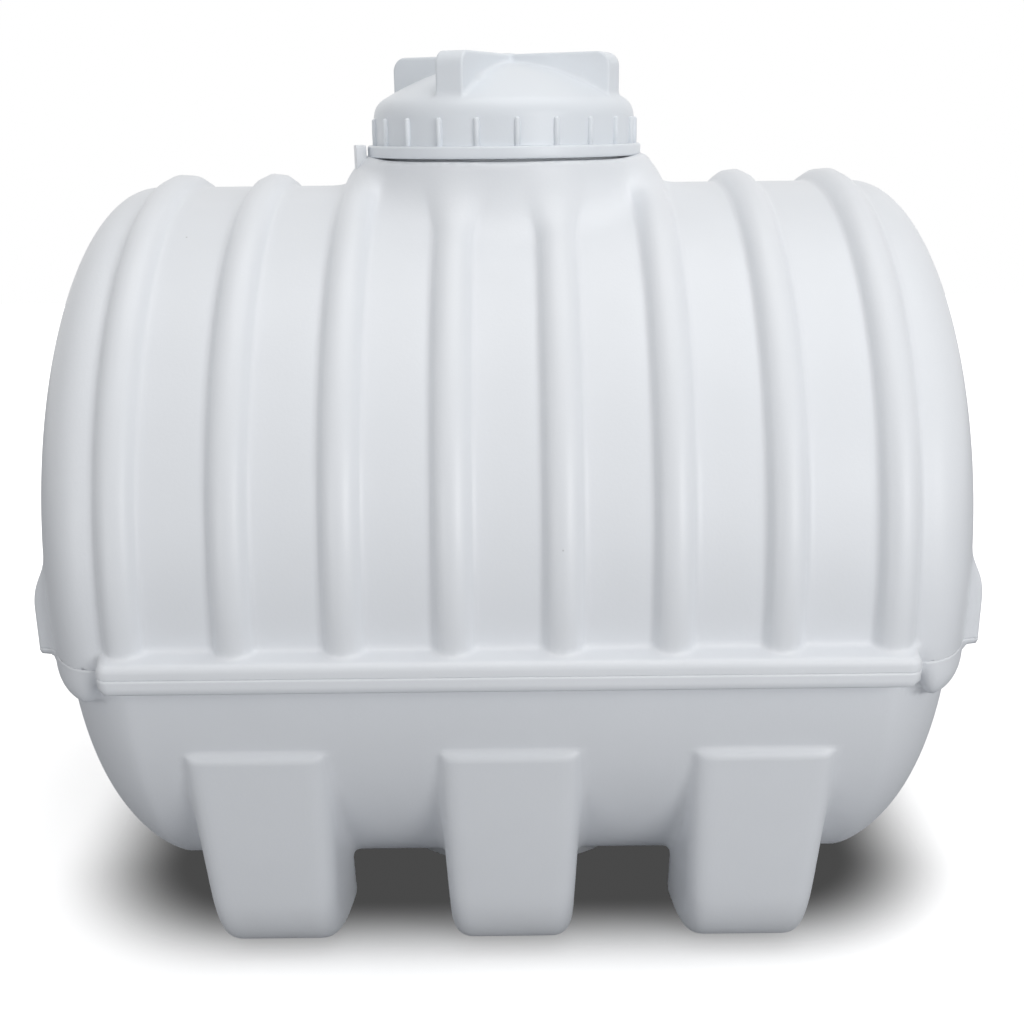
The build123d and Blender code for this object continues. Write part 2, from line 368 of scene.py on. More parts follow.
@dataclass(frozen=True)
class Moulding(Form):
    """The whole outer surface of the tank, with every form melted into the next."""

    upper: UpperBody
    lower: DishedBarrel
    ribs: Ribs
    ledge: Ledge
    feet: Feet
    lugs: Lugs
    neck: Upright
    throat: Upright
    rib_melt: float = 0.0045
    ledge_melt: float = 0.006
    lug_melt: float = 0.010
    neck_melt: float = 0.060
    throat_melt: float = 0.004
    foot_top_melt: float = 0.0015
    foot_melt: float = 0.014
    foot_melt_rise: float = 0.090
    belly_melt: float = 0.010

    def distance(self, points: Points) -> Points:
        """Gives the signed distance to the moulding."""
        upper = melted(self.upper.distance(points), self.ribs.distance(points), self.rib_melt)
        upper = melted(upper, self.lugs.distance(points), self.lug_melt)
        upper = melted(upper, self.neck.distance(points), self.neck_melt)
        upper = melted(upper, self.throat.distance(points), self.throat_melt)
        seam = self.upper.seam_height
        lower = np.maximum(self.lower.distance(points), points[:, 2] - seam - 0.02)
        crisp = smooth_step(points[:, 2], self.feet.top - self.foot_melt_rise, self.feet.top)
        width = self.foot_melt + (self.foot_top_melt - self.foot_melt) * crisp
        lower = melted(lower, self.feet.distance(points), width)
        body = melted(upper, lower, self.belly_melt)
        return melted(body, self.ledge.distance(points), self.ledge_melt)


# Making meshes


def add_profile_turn(
    shape: bmesh.types.BMesh, outline: list[Vector], centre: Vector, axis: Vector, steps: int
) -> None:
    """Spins an open outline into a closed round body.

    Args:
        shape: The mesh that receives the body.
        outline: Points of the outline, from one pole to the other or a closed ring.
        centre: A point on the turning axis.
        axis: The direction of the turning axis.
        steps: How many facets go round.
    """
    corners = [shape.verts.new(point) for point in outline]
    edges = [shape.edges.new(pair) for pair in zip(corners[:-1], corners[1:])]
    bmesh.ops.spin(
        shape, geom=corners + edges, cent=centre, axis=axis, angle=FULL_TURN, steps=steps, use_merge=True
    )


def closed_and_outward(shape: bmesh.types.BMesh, merge: float = 1e-6) -> None:
    """Merges doubled vertices and turns all faces outwards."""
    bmesh.ops.remove_doubles(shape, verts=shape.verts[:], dist=merge)
    bmesh.ops.recalc_face_normals(shape, faces=shape.faces[:])


def as_object(shape: bmesh.types.BMesh, name: str, smooth: bool = True) -> bpy.types.Object:
    """Turns a bmesh into an object in the scene.

    Args:
        shape: The finished mesh, which is freed.
        name: The object's name.
        smooth: Whether its faces are shaded smoothly.

    Returns:
        The new object.
    """
    mesh = bpy.data.meshes.new(name)
    shape.to_mesh(mesh)
    shape.free()
    mesh.polygons.foreach_set("use_smooth", [smooth] * len(mesh.polygons))
    piece = bpy.data.objects.new(name, mesh)
    bpy.context.scene.collection.objects.link(piece)
    return piece


def evenly_remeshed(rough: bpy.types.Object, voxel: float) -> bmesh.types.BMesh:
    """Covers a rough body with small even faces and deletes the rough one.

    Args:
        rough: An object made of closed shells, which may overlap.
        voxel: The size of the new faces, in metres.

    Returns:
        The new mesh.
    """
    remesh = rough.modifiers.new("even", "REMESH")
    remesh.mode = "VOXEL"
    remesh.voxel_size = voxel
    view = bpy.context.evaluated_depsgraph_get()
    shape = bmesh.new()
    shape.from_object(rough, view)
    bpy.data.objects.remove(rough)
    return shape


def relaxed(points: Points, edges: np.ndarray, form: Form, rounds: int, strength: float = 0.5) -> Points:
    """Evens out the spacing of points that lie on a form's surface.

    Args:
        points: One row of coordinates a vertex.
        edges: One row of two vertex numbers an edge.
        form: The surface that the points lie on.
        rounds: How often the points are evened out.
        strength: The share of the way to the neighbours' middle.

    Returns:
        The points, settled on the surface again.
    """
    count = len(points)
    starts = np.concatenate([edges[:, 0], edges[:, 1]])
    ends = np.concatenate([edges[:, 1], edges[:, 0]])
    neighbours = np.maximum(np.bincount(starts, minlength=count), 1)
    moved = points.copy()
    for _ in range(rounds):
        sums = [np.bincount(starts, weights=moved[ends, axis], minlength=count) for axis in range(3)]
        moved += strength * (np.column_stack(sums) / neighbours[:, None] - moved)
        moved = form.settled(moved, 1)
    return form.settled(moved, 1)


def shaped_on(shape: bmesh.types.BMesh, form: Form, rounds: int, evenings: int) -> None:
    """Settles all vertices of a mesh onto a form's surface.

    Args:
        shape: The mesh, changed in place.
        form: The surface.
        rounds: How often the vertices move before they are evened out.
        evenings: How often they are evened out.
    """
    points = np.array([vertex.co for vertex in shape.verts])
    edges = np.array([[edge.verts[0].index, edge.verts[1].index] for edge in shape.edges])
    points = relaxed(form.settled(points, rounds), edges, form, evenings)
    for vertex, place in zip(shape.verts, points.tolist()):
        vertex.co = place


def cut_level(shape: bmesh.types.BMesh, height: float, keep: Side) -> None:
    """Cuts a mesh at a level and keeps what lies on one side."""
    bmesh.ops.bisect_plane(
        shape,
        geom=shape.verts[:] + shape.edges[:] + shape.faces[:],
        plane_co=(0.0, 0.0, height),
        plane_no=(0.0, 0.0, 1.0),
        clear_outer=keep is Side.LOWER,
        clear_inner=keep is Side.UPPER,
    )


def close_holes(shape: bmesh.types.BMesh) -> None:
    """Closes every open outline with a face."""
    open_edges = [edge for edge in shape.edges if edge.is_boundary]
    bmesh.ops.holes_fill(shape, edges=open_edges, sides=0)


def open_loop(
    shape: bmesh.types.BMesh, height: float, tolerance: float = 1e-4
) -> list[bmesh.types.BMEdge]:
    """Finds the open edges that lie at one level."""
    return [
        edge
        for edge in shape.edges
        if edge.is_boundary and all(abs(corner.co.z - height) < tolerance for corner in edge.verts)
    ]


class LoopWalk:
    """Extrudes an open loop of edges step by step, keeping track of its vertices."""

    def __init__(self, shape: bmesh.types.BMesh, edges: list[bmesh.types.BMEdge]) -> None:
        """Starts at a loop of open edges."""
        self.shape = shape
        self.edges = edges

    @property
    def corners(self) -> list[bmesh.types.BMVert]:
        """The loop's vertices."""
        return list({corner: None for edge in self.edges for corner in edge.verts})

    def step(self, place: Placing) -> None:
        """Adds a ring of faces and puts the new loop's vertices in place.

        Args:
            place: A function from an array of old coordinates to the new ones.
        """
        made = bmesh.ops.extrude_edge_only(self.shape, edges=self.edges)["geom"]
        self.edges = [part for part in made if isinstance(part, bmesh.types.BMEdge) and part.is_boundary]
        corners = self.corners
        old = np.array([corner.co for corner in corners])
        for corner, spot in zip(corners, place(old).tolist()):
            corner.co = spot


def absorb(target: bmesh.types.BMesh, part: bmesh.types.BMesh) -> None:
    """Adds a part's faces to a mesh and frees the part."""
    carrier = bpy.data.meshes.new("carrier")
    part.to_mesh(carrier)
    part.free()
    target.from_mesh(carrier)
    bpy.data.meshes.remove(carrier)


def block_mesh(low: Vector, high: Vector) -> bmesh.types.BMesh:
    """Makes a box between two corners."""
    shape = bmesh.new()
    bmesh.ops.create_cube(shape, size=1.0)
    bmesh.ops.scale(shape, vec=high - low, verts=shape.verts[:])
    bmesh.ops.translate(shape, vec=(high + low) / 2.0, verts=shape.verts[:])
    return shape


def post_mesh(radius: float, low: float, high: float, sides: int = 64) -> bmesh.types.BMesh:
    """Makes an upright cylinder on the manway's axis."""
    shape = bmesh.new()
    bmesh.ops.create_cone(
        shape, cap_ends=True, segments=sides, radius1=radius, radius2=radius, depth=high - low
    )
    bmesh.ops.translate(shape, vec=(0.0, 0.0, (high + low) / 2.0), verts=shape.verts[:])
    return shape


def barrel_mesh(barrel: DishedBarrel, level: float, keep: Side, sides: int = 72) -> bmesh.types.BMesh:
    """Makes a rough closed half of a barrel with its dished ends.

    Args:
        barrel: The surface to follow.
        level: The height at which the barrel is cut and closed.
        keep: Which half stays.
        sides: How many facets go round.

    Returns:
        The rough half.
    """
    turns = np.linspace(0.0, math.pi / 2.0, 9)
    dish = barrel.straight_end + barrel.dish_depth * np.sin(turns)
    straight = np.linspace(-barrel.straight_end, barrel.straight_end, 12)[1:-1]
    along = np.concatenate([-dish[::-1], straight, dish])
    radii = barrel.radius_at(along)
    outline = [Vector((x, 0.0, barrel.axis_height + r)) for x, r in zip(along, radii)]
    shape = bmesh.new()
    centre = Vector((0.0, 0.0, barrel.axis_height))
    add_profile_turn(shape, outline, centre, Vector((1.0, 0.0, 0.0)), sides)
    closed_and_outward(shape, 1e-5)
    cut_level(shape, level, keep)
    close_holes(shape)
    return shape


@dataclass
class TankShell:
    """The moulded tank: an upper and a lower skin that meet at the seam."""

    moulding: Moulding
    wall: float = 0.008
    bore_radius: float = 0.177
    bore_shoulder: float = 0.190
    rim_drop: float = 0.004
    seam_gap_left: float = 0.0010
    seam_gap_right: float = 0.0006
    upper_voxel: float = 0.0067
    lower_voxel: float = 0.0072
    quick_voxel: float = 0.012
    margin: float = 0.014
    end_inset: float = 0.010
    side_inset: float = 0.002

    def __post_init__(self) -> None:
        """Takes the height of the seam from the moulding."""
        self.seam = self.moulding.upper.seam_height

    def rough_upper(self) -> bmesh.types.BMesh:
        """Makes the rough upper half from closed blocks."""
        form = self.moulding
        low = self.seam - 3.0 * self.margin
        shape = barrel_mesh(form.upper.barrel, low, Side.UPPER)
        absorb(shape, self.rough_ledge(low, form.ledge.top))
        for post in (form.neck, form.throat):
            absorb(shape, post_mesh(post.radius, self.seam, post.top))
        self.add_rough_lugs(shape, low, form.lugs.top)
        return shape

    def rough_lower(self) -> bmesh.types.BMesh:
        """Makes the rough lower half from closed blocks."""
        form = self.moulding
        high = self.seam + 3.0 * self.margin
        shape = barrel_mesh(form.lower, high, Side.LOWER)
        shoulder = barrel_mesh(form.upper.barrel, form.upper.shoulder_floor, Side.UPPER)
        cut_level(shoulder, high, Side.LOWER)
        close_holes(shoulder)
        absorb(shape, shoulder)
        absorb(shape, self.rough_ledge(form.ledge.bottom, high))
        self.add_rough_lugs(shape, form.lugs.bottom, high)
        for y_side in (-1.0, 1.0):
            for place in (-form.feet.pitch, 0.0, form.feet.pitch):
                absorb(shape, self.rough_foot(place, y_side))
        return shape

    def rough_ledge(self, low: float, high: float) -> bmesh.types.BMesh:
        """Makes the plain block that both ledges belong to, between two levels."""
        ledge = self.moulding.ledge
        x, y = ledge.half_length - self.end_inset, ledge.half_width - self.side_inset
        return block_mesh(Vector((-x, -y, low)), Vector((x, y, high)))

    def add_rough_lugs(self, shape: bmesh.types.BMesh, low: float, high: float) -> None:
        """Adds a plain block for each of the four lugs, between two levels."""
        lug = self.moulding.lugs
        for x_side in (-1.0, 1.0):
            for y_side in (-1.0, 1.0):
                near = Vector((x_side * lug.root, y_side * (lug.offset - lug.half_width), low))
                away = Vector((x_side * lug.reach, y_side * (lug.offset + lug.half_width), high))
                absorb(shape, block_mesh(Vector(map(min, near, away)), Vector(map(max, near, away))))

    def rough_foot(self, place: float, y_side: float) -> bmesh.types.BMesh:
        """Makes one leaning block for a foot.

        Args:
            place: Where the foot stands along the tank.
            y_side: -1 for the front, 1 for the back.

        Returns:
            The rough foot.
        """
        feet = self.moulding.feet
        shape = block_mesh(Vector((-1.0, 0.0, 0.0)), Vector((1.0, 1.0, feet.top)))
        for corner in shape.verts:
            height = corner.co.z
            toe = feet.toe + feet.lean * height
            depth = toe if corner.co.y > 0.5 else feet.heel + feet.heel_lean * height
            corner.co.x = place + corner.co.x * (feet.sole_half_width + feet.draft * height)
            corner.co.y = y_side * depth
        bmesh.ops.recalc_face_normals(shape, faces=shape.faces[:])
        return shape

    def seam_gap(self, along: Points) -> Points:
        """Gives half the width of the parting crack at places along the tank."""
        share = smooth_step(along, -0.5, 0.2)
        return (self.seam_gap_left + (self.seam_gap_right - self.seam_gap_left) * share) / 2.0

    def skin(self, side: Side) -> bpy.types.Object:
        """Makes one half of the moulding as a closed shell.

        Args:
            side: Which half.

        Returns:
            The finished object.
        """
        upper = side is Side.UPPER
        rough = as_object(self.rough_upper() if upper else self.rough_lower(), "rough")
        voxel = self.upper_voxel if upper else self.lower_voxel
        shape = evenly_remeshed(rough, voxel)
        cut_level(shape, self.seam - side.value * self.margin, side)
        shaped_on(shape, self.moulding, rounds=7, evenings=5)
        cut_level(shape, self.seam, side)
        walk = LoopWalk(shape, open_loop(shape, self.seam))
        for corner in walk.corners:
            corner.co.z += side.value * float(self.seam_gap(np.array(corner.co.x)))
        barrel = self.moulding.upper.barrel if upper else self.moulding.lower
        inside = barrel.shrunk(self.wall)
        self.walk_to_inner_wall(walk, inside)
        if upper:
            self.line_upper(shape, walk, inside)
        else:
            self.line_lower(walk, inside)
        closed_and_outward(shape, 1e-5)
        return as_object(shape, "tank_upper_skin" if upper else "tank_lower_skin")

    def walk_to_inner_wall(self, walk: LoopWalk, inside: DishedBarrel) -> None:
        """Turns the lips of the seam inwards, to the wall's inner face.

        Args:
            walk: The loop at the seam.
            inside: The inner face of the wall.
        """

        def on_inner_face(old: Points, height: float | None = None) -> Points:
            """Brings points straight in onto the inner face."""
            level = float(old[:, 2].mean()) if height is None else height
            scale = inside.outline_scale(old[:, :2], level)
            heights = old[:, 2] if height is None else np.full(len(old), height)
            return np.column_stack([old[:, :2] * scale[:, None], heights])

        walk.step(on_inner_face)
        walk.step(lambda old: on_inner_face(old, inside.axis_height))

    def line_lower(self, walk: LoopWalk, inside: DishedBarrel, rings: int = 10) -> None:
        """Lines the lower half down to the middle of the belly.

        Args:
            walk: The loop on the inner wall at the barrel's axis.
            inside: The inner face of the wall.
            rings: How many rings of faces the lining gets.
        """
        for ring in range(1, rings + 1):
            share = math.cos(ring / rings * math.pi / 2.0)
            before = math.cos((ring - 1) / rings * math.pi / 2.0)

            def sink(old: Points, ratio: float = share / before) -> Points:
                """Draws the ring in and lets it down onto the belly."""
                flat = old[:, :2] * ratio
                depth = np.sqrt(np.maximum(inside.radius_at(flat[:, 0]) ** 2 - flat[:, 1] ** 2, 0.0))
                return np.column_stack([flat, inside.axis_height - depth])

            walk.step(sink)

    def line_upper(
        self, shape: bmesh.types.BMesh, walk: LoopWalk, inside: DishedBarrel, rings: int = 12
    ) -> None:
        """Lines the upper half up to the manway and turns the throat's lip into the bore.

        Args:
            shape: The upper half.
            walk: The loop on the inner wall at the barrel's axis.
            inside: The inner face of the wall.
            rings: How many rings of faces the lining gets.
        """

        def vault(flat: Points) -> Points:
            """Lifts flat points onto the inner face over them."""
            rise = np.sqrt(np.maximum(inside.radius_at(flat[:, 0]) ** 2 - flat[:, 1] ** 2, 0.0))
            return np.column_stack([flat, inside.axis_height + rise])

        def at_radius(old: Points, radius: float) -> Points:
            """Moves points straight in or out to a radius round the manway."""
            flat = old[:, :2]
            return flat * (radius / np.hypot(flat[:, 0], flat[:, 1]))[:, None]

        for ring in range(1, rings + 1):
            share = 1.0 - math.cos(ring / rings * math.pi / 2.0)
            before = 1.0 - math.cos((ring - 1) / rings * math.pi / 2.0)
            ratio = (share - before) / max(1.0 - before, 1e-6)

            def draw_in(old: Points, ratio: float = ratio) -> Points:
                """Brings the ring nearer to the manway."""
                flat = old[:, :2] + ratio * (at_radius(old, self.bore_shoulder) - old[:, :2])
                return vault(flat)

            walk.step(draw_in)
        throat = self.moulding.throat
        level = throat.top - self.rim_drop
        cut_level(shape, level, Side.LOWER)
        rim = LoopWalk(shape, open_loop(shape, level))
        edge = self.rim_drop
        lip = [
            (throat.radius - 0.3 * edge, throat.top - 0.3 * edge),
            (throat.radius - edge, throat.top),
            (self.bore_radius + 0.7 * edge, throat.top),
            (self.bore_radius, throat.top - 0.7 * edge),
        ]
        for radius, height in lip:
            rim.step(lambda old, r=radius, z=height: ring_at(old, r, z))
        rim.step(lambda old: vault(at_radius(old, self.bore_radius)))
        bmesh.ops.bridge_loops(shape, edges=walk.edges + rim.edges)


@dataclass(frozen=True)
class LidCrown(Form):
    """The lid's skirt, its domed top and the cross of hand grips."""

    crown_height: float
    arm_top: float
    skirt_radius: float = 0.195
    crown_fall: float = 1.6
    shoulder: float = 0.016
    bearing: float = math.radians(-25.0)
    arm_reach: float = 0.177
    arm_half_width: float = 0.0215
    tip_radius: float = 0.020
    arm_edge: float = 0.0035
    hub_melt: float = 0.006
    root_melt: float = 0.007
    arm_drop: float = 0.002

    def crown_at(self, radius: Points) -> Points:
        """Gives the height of the domed top."""
        return self.crown_height - self.crown_fall * radius * radius

    def arms(self, points: Points) -> Points:
        """Gives the distances to the cross."""
        cosine, sine = math.cos(self.bearing), math.sin(self.bearing)
        first = np.abs(points[:, 0] * cosine + points[:, 1] * sine)
        second = np.abs(points[:, 1] * cosine - points[:, 0] * sine)
        rise = points[:, 2] - self.arm_top + self.arm_drop
        bars = []
        for along, beside in ((first, second), (second, first)):
            profile = plate_distance(along - self.arm_reach, rise, self.tip_radius)
            bars.append(plate_distance(profile, beside - self.arm_half_width, self.arm_edge))
        return melted(bars[0], bars[1], self.hub_melt)

    def distance(self, points: Points) -> Points:
        """Gives the signed distance to the lid's outer surface."""
        radius = np.hypot(points[:, 0], points[:, 1])
        steepness = np.hypot(1.0, 2.0 * self.crown_fall * radius)
        dome = (points[:, 2] - self.crown_at(radius)) / steepness
        cap = trimmed(dome, radius - self.skirt_radius, self.shoulder)
        return melted(cap, self.arms(points), self.root_melt)


@dataclass
class Lid:
    """The screwed lid: a domed cap with a cross of hand grips, a flange and grip ribs."""

    voxel: float = 0.0023
    quick_voxel: float = 0.005
    wall: float = 0.007
    rib_count: int = 22
    rib_half_width: float = 0.0042
    rib_depth: float = 0.0054
    rib_rise: float = 0.034
    rib_phase: float = math.radians(-2.6)
    flange_edge: float = 0.0035

    def __post_init__(self) -> None:
        """Takes the lid's place from the frame."""
        low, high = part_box("lid_flange")
        self.bottom = low.z
        self.flange_top = high.z
        self.flange_radius = high.x
        self.rib_top = self.flange_top + self.rib_rise
        self.crown = LidCrown(crown_height=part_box("lid_cap")[1].z, arm_top=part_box("lid_grip_cross")[1].z)

    def cap(self) -> bpy.types.Object:
        """Makes the hollow cap with its cross."""
        crown = self.crown
        start = self.bottom - 0.03
        rough = post_mesh(crown.skirt_radius, start, crown.crown_height - 0.04, 96)
        absorb(rough, post_mesh(crown.skirt_radius * 0.75, start, crown.crown_height - 0.012, 96))
        for turn in (0.0, math.pi / 2.0):
            corner = Vector((crown.arm_reach, crown.arm_half_width, 0.0))
            bar = block_mesh(-corner + Vector((0, 0, start)), corner + Vector((0, 0, crown.arm_top)))
            bmesh.ops.rotate(bar, matrix=Matrix.Rotation(crown.bearing + turn, 3, "Z"), verts=bar.verts[:])
            absorb(rough, bar)
        shape = evenly_remeshed(as_object(rough, "rough"), self.voxel)
        cut_level(shape, start + 0.012, Side.UPPER)
        shaped_on(shape, crown, rounds=9, evenings=5)
        level = self.bottom + 0.0012
        cut_level(shape, level, Side.UPPER)
        walk = LoopWalk(shape, open_loop(shape, level))
        inner = crown.skirt_radius - self.wall
        ceiling = crown.crown_at(np.array([inner]))[0] - 2.0 * self.wall
        profile = [
            (crown.skirt_radius - 0.001, self.bottom + 0.0003),
            (inner + 0.001, self.bottom + 0.0003),
            (inner, level),
            (inner, ceiling - 0.01),
            (inner - 0.012, ceiling),
        ]
        for radius in (inner * 0.7, inner * 0.35):
            profile.append((radius, crown.crown_at(np.array([radius]))[0] - self.wall))
        profile.append((1e-7, crown.crown_height - self.wall))
        for radius, height in profile:
            walk.step(lambda old, r=radius, z=height: ring_at(old, r, z))
        closed_and_outward(shape, 1e-6)
        return as_object(shape, "lid_cap_skin")

    def flange(self) -> bpy.types.Object:
        """Makes the flat flange round the skirt's foot."""
        outer, inner = self.flange_radius, self.crown.skirt_radius - 0.001
        edge = self.flange_edge
        profile = [(inner, self.bottom), (outer - edge, self.bottom)]
        quarter = np.linspace(0.0, math.pi / 2.0, 5)
        roundings = [(self.bottom + edge, turn) for turn in -quarter[3::-1]]
        roundings += [(self.flange_top - edge, turn) for turn in quarter]
        for height, turn in roundings:
            profile.append((outer - edge + edge * math.cos(turn), height + edge * math.sin(turn)))
        profile += [(inner, self.flange_top), (inner, self.bottom)]
        shape = bmesh.new()
        outline = [Vector((radius, 0.0, height)) for radius, height in profile]
        add_profile_turn(shape, outline, Vector(), Vector((0.0, 0.0, 1.0)), 160)
        closed_and_outward(shape, 1e-5)
        return as_object(shape, "lid_flange_ring")

    def grip_ribs(self) -> bpy.types.Object:
        """Makes the ring of small upright ribs on the skirt."""
        shape = bmesh.new()
        for index in range(self.rib_count):
            rib = bmesh.new()
            bmesh.ops.create_uvsphere(rib, u_segments=14, v_segments=10, radius=self.rib_half_width)
            rise = (self.rib_top - self.flange_top) / 2.0
            for corner in rib.verts:
                corner.co.x *= self.rib_depth / self.rib_half_width
                corner.co.z += math.copysign(rise, corner.co.z) if abs(corner.co.z) > 1e-6 else 0.0
            place = Vector((self.crown.skirt_radius, 0.0, self.flange_top + rise))
            bmesh.ops.translate(rib, vec=place, verts=rib.verts[:])
            turn = Matrix.Rotation(index * FULL_TURN / self.rib_count + self.rib_phase, 3, "Z")
            bmesh.ops.rotate(rib, matrix=turn, verts=rib.verts[:])
            absorb(shape, rib)
        return as_object(shape, "lid_grips")

    def build(self) -> list[bpy.types.Object]:
        """Makes all pieces of the lid and lets them ride on its body."""
        nodes = {"lid_cap_skin": ("lid_cap", "lid_grip_cross"), "lid_flange_ring": ("lid_flange",),
                 "lid_grips": ("lid_grip_ribs",)}
        pieces = [self.cap(), self.flange(), self.grip_ribs()]
        for piece in pieces:
            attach(piece, LID_BODY)
            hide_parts(*nodes[piece.name])
            log.info("%s: %d faces", piece.name, len(piece.data.polygons))
        return pieces


def ring_at(old: Points, radius: float, height: float) -> Points:
    """Moves points to a radius round the manway's axis and to one height."""
    flat = old[:, :2]
    scale = radius / np.maximum(np.hypot(flat[:, 0], flat[:, 1]), 1e-9)
    return np.column_stack([flat * scale[:, None], np.full(len(old), height)])


@dataclass
class LockLug:
    """The bracket on the neck's rim that stands beside the lid's flange."""

    bearing: float = math.radians(189.0)
    width: float = 0.058
    inner: float = 0.2112
    outer: float = 0.2265
    root: float = 0.198
    foot_drop: float = -0.018
    shelf_height: float = 0.013
    corner: float = 0.010
    edge: float = 0.0018

    def __post_init__(self) -> None:
        """Takes the bracket's height from the frame."""
        low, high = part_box("lock_lug")
        self.low = low.z - self.foot_drop
        self.shelf = self.low + self.shelf_height
        self.top = high.z

    def build(self) -> bpy.types.Object:
        """Makes the bracket and lets it ride on the tank."""
        outline = [
            (self.root, self.low), (self.outer, self.low), (self.outer, self.top),
            (self.inner, self.top), (self.inner, self.shelf), (self.root, self.shelf),
        ]
        shape = bmesh.new()
        corners = [shape.verts.new((radius, 0.0, height)) for radius, height in outline]
        face = shape.faces.new(corners)
        swing = self.width / self.outer
        bmesh.ops.spin(
            shape, geom=[face] + list(face.edges) + corners, cent=(0, 0, 0), axis=(0, 0, 1),
            angle=swing, steps=14, use_merge=False,
        )
        closed_and_outward(shape)
        tips = [
            edge for edge in shape.edges
            if all(abs(corner.co.z - self.top) < 1e-5 for corner in edge.verts)
            and abs(edge.verts[0].co.to_2d().length - edge.verts[1].co.to_2d().length) > 0.004
            and len({face.normal.to_tuple(2) for face in edge.link_faces}) == 2
            and min(abs(face.normal.z) for face in edge.link_faces) < 0.5
        ]
        bmesh.ops.bevel(
            shape, geom=tips, offset=self.corner, segments=5, profile=0.5, affect="EDGES", material=-1
        )
        turn = Matrix.Rotation(self.bearing - swing / 2.0, 3, "Z")
        bmesh.ops.rotate(shape, matrix=turn, verts=shape.verts[:])
        closed_and_outward(shape)
        piece = as_object(shape, "lock_bracket")
        bevel = piece.modifiers.new("soft_edges", "BEVEL")
        bevel.width = self.edge
        bevel.segments = 3
        bevel.limit_method = "ANGLE"
        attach(piece, TANK_BODY)
        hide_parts("lock_lug")
        return piece


# Finishes


class Sockets(Enum):
    """The kinds of sockets that the shared effects use."""

    VECTOR = "NodeSocketVector"
    VALUE = "NodeSocketFloat"


class Sheet:
    """A node tree that is laid out by short calls."""

    def __init__(self, tree: bpy.types.NodeTree) -> None:
        """Starts on an empty tree."""
        self.tree = tree

    def add(self, kind: str, inputs: dict | None = None, **settings) -> bpy.types.Node:
        """Adds a node, sets its options and joins or sets its inputs.

        Args:
            kind: The node's type name.
            inputs: Values or sockets by the input's name or number.
            settings: Options of the node.

        Returns:
            The node.
        """
        node = self.tree.nodes.new(kind)
        for name, value in settings.items():
            setattr(node, name, value)
        for name, value in (inputs or {}).items():
            if isinstance(value, bpy.types.NodeSocket):
                self.tree.links.new(value, node.inputs[name])
            else:
                node.inputs[name].default_value = value
        return node

    def noise(
        self, vector: bpy.types.NodeSocket, scale: NodeInput, detail: float = 3.0
    ) -> bpy.types.NodeSocket:
        """Adds a noise and gives its value."""
        node = self.add("ShaderNodeTexNoise", {"Vector": vector, "Scale": scale, "Detail": detail})
        return node.outputs["Fac"]

    def math(self, operation: str, *values: NodeInput) -> bpy.types.NodeSocket:
        """Adds a sum of one or more values and gives its result."""
        node = self.add("ShaderNodeMath", dict(enumerate(values)), operation=operation)
        return node.outputs[0]

    def blended(self, factor: NodeInput, first: object, second: object) -> bpy.types.NodeSocket:
        """Mixes two colours, given as sockets or values, and gives the result."""
        inputs = {"Factor": factor, 6: first, 7: second}
        return self.add("ShaderNodeMix", inputs, data_type="RGBA").outputs[2]

    def ramped(
        self, value: NodeInput, low: NodeInput, high: NodeInput, start: NodeInput, end: NodeInput
    ) -> bpy.types.NodeSocket:
        """Maps a value from one range to another, held at both ends."""
        inputs = {"Value": value, "From Min": low, "From Max": high, "To Min": start, "To Max": end}
        return self.add("ShaderNodeMapRange", inputs, interpolation_type="SMOOTHSTEP").outputs["Result"]


def new_group(
    name: str, inputs: dict[str, tuple[Sockets, float]], outputs: dict[str, Sockets]
) -> tuple[bpy.types.NodeTree, Sheet, bpy.types.Node, bpy.types.Node]:
    """Starts a shared effect.

    Args:
        name: The group's name.
        inputs: Kind and first value of each input.
        outputs: Kind of each output.

    Returns:
        The group, its sheet, its input node and its output node.
    """
    group = bpy.data.node_groups.new(name, "ShaderNodeTree")
    for label, (kind, value) in inputs.items():
        socket = group.interface.new_socket(label, in_out="INPUT", socket_type=kind.value)
        if kind is Sockets.VALUE:
            socket.default_value = value
    for label, kind in outputs.items():
        group.interface.new_socket(label, in_out="OUTPUT", socket_type=kind.value)
    sheet = Sheet(group)
    return group, sheet, sheet.add("NodeGroupInput"), sheet.add("NodeGroupOutput")


def tone_drift_group() -> bpy.types.NodeTree:
    """Makes the soft cloudy change of tone that a thick moulded wall has."""
    kinds = {"Vector": (Sockets.VECTOR, 0.0), "Scale": (Sockets.VALUE, 3.0), "Amount": (Sockets.VALUE, 0.02)}
    group, sheet, source, target = new_group("tone drift", kinds, {"Tone": Sockets.VALUE})
    broad = sheet.noise(source.outputs["Vector"], source.outputs["Scale"], 2.0)
    finer_scale = sheet.math("MULTIPLY", source.outputs["Scale"], 5.0)
    finer = sheet.noise(source.outputs["Vector"], finer_scale, 3.0)
    mixed = sheet.math("ADD", sheet.math("MULTIPLY", broad, 1.4), sheet.math("MULTIPLY", finer, 0.6))
    centred = sheet.math("SUBTRACT", mixed, 1.0)
    tone = sheet.math("MULTIPLY_ADD", centred, source.outputs["Amount"], 1.0)
    sheet.tree.links.new(tone, target.inputs["Tone"])
    return group


def peel_group() -> bpy.types.NodeTree:
    """Makes the faint orange peel and the slow waviness of a moulded skin."""
    kinds = {"Vector": (Sockets.VECTOR, 0.0), "Peel": (Sockets.VALUE, 260.0), "Wave": (Sockets.VALUE, 9.0),
             "Wave Share": (Sockets.VALUE, 6.0)}
    group, sheet, source, target = new_group("moulded peel", kinds, {"Height": Sockets.VALUE})
    peel = sheet.noise(source.outputs["Vector"], source.outputs["Peel"], 2.0)
    wave = sheet.noise(source.outputs["Vector"], source.outputs["Wave"], 1.0)
    height = sheet.math("MULTIPLY_ADD", wave, source.outputs["Wave Share"], peel)
    sheet.tree.links.new(height, target.inputs["Height"])
    return group


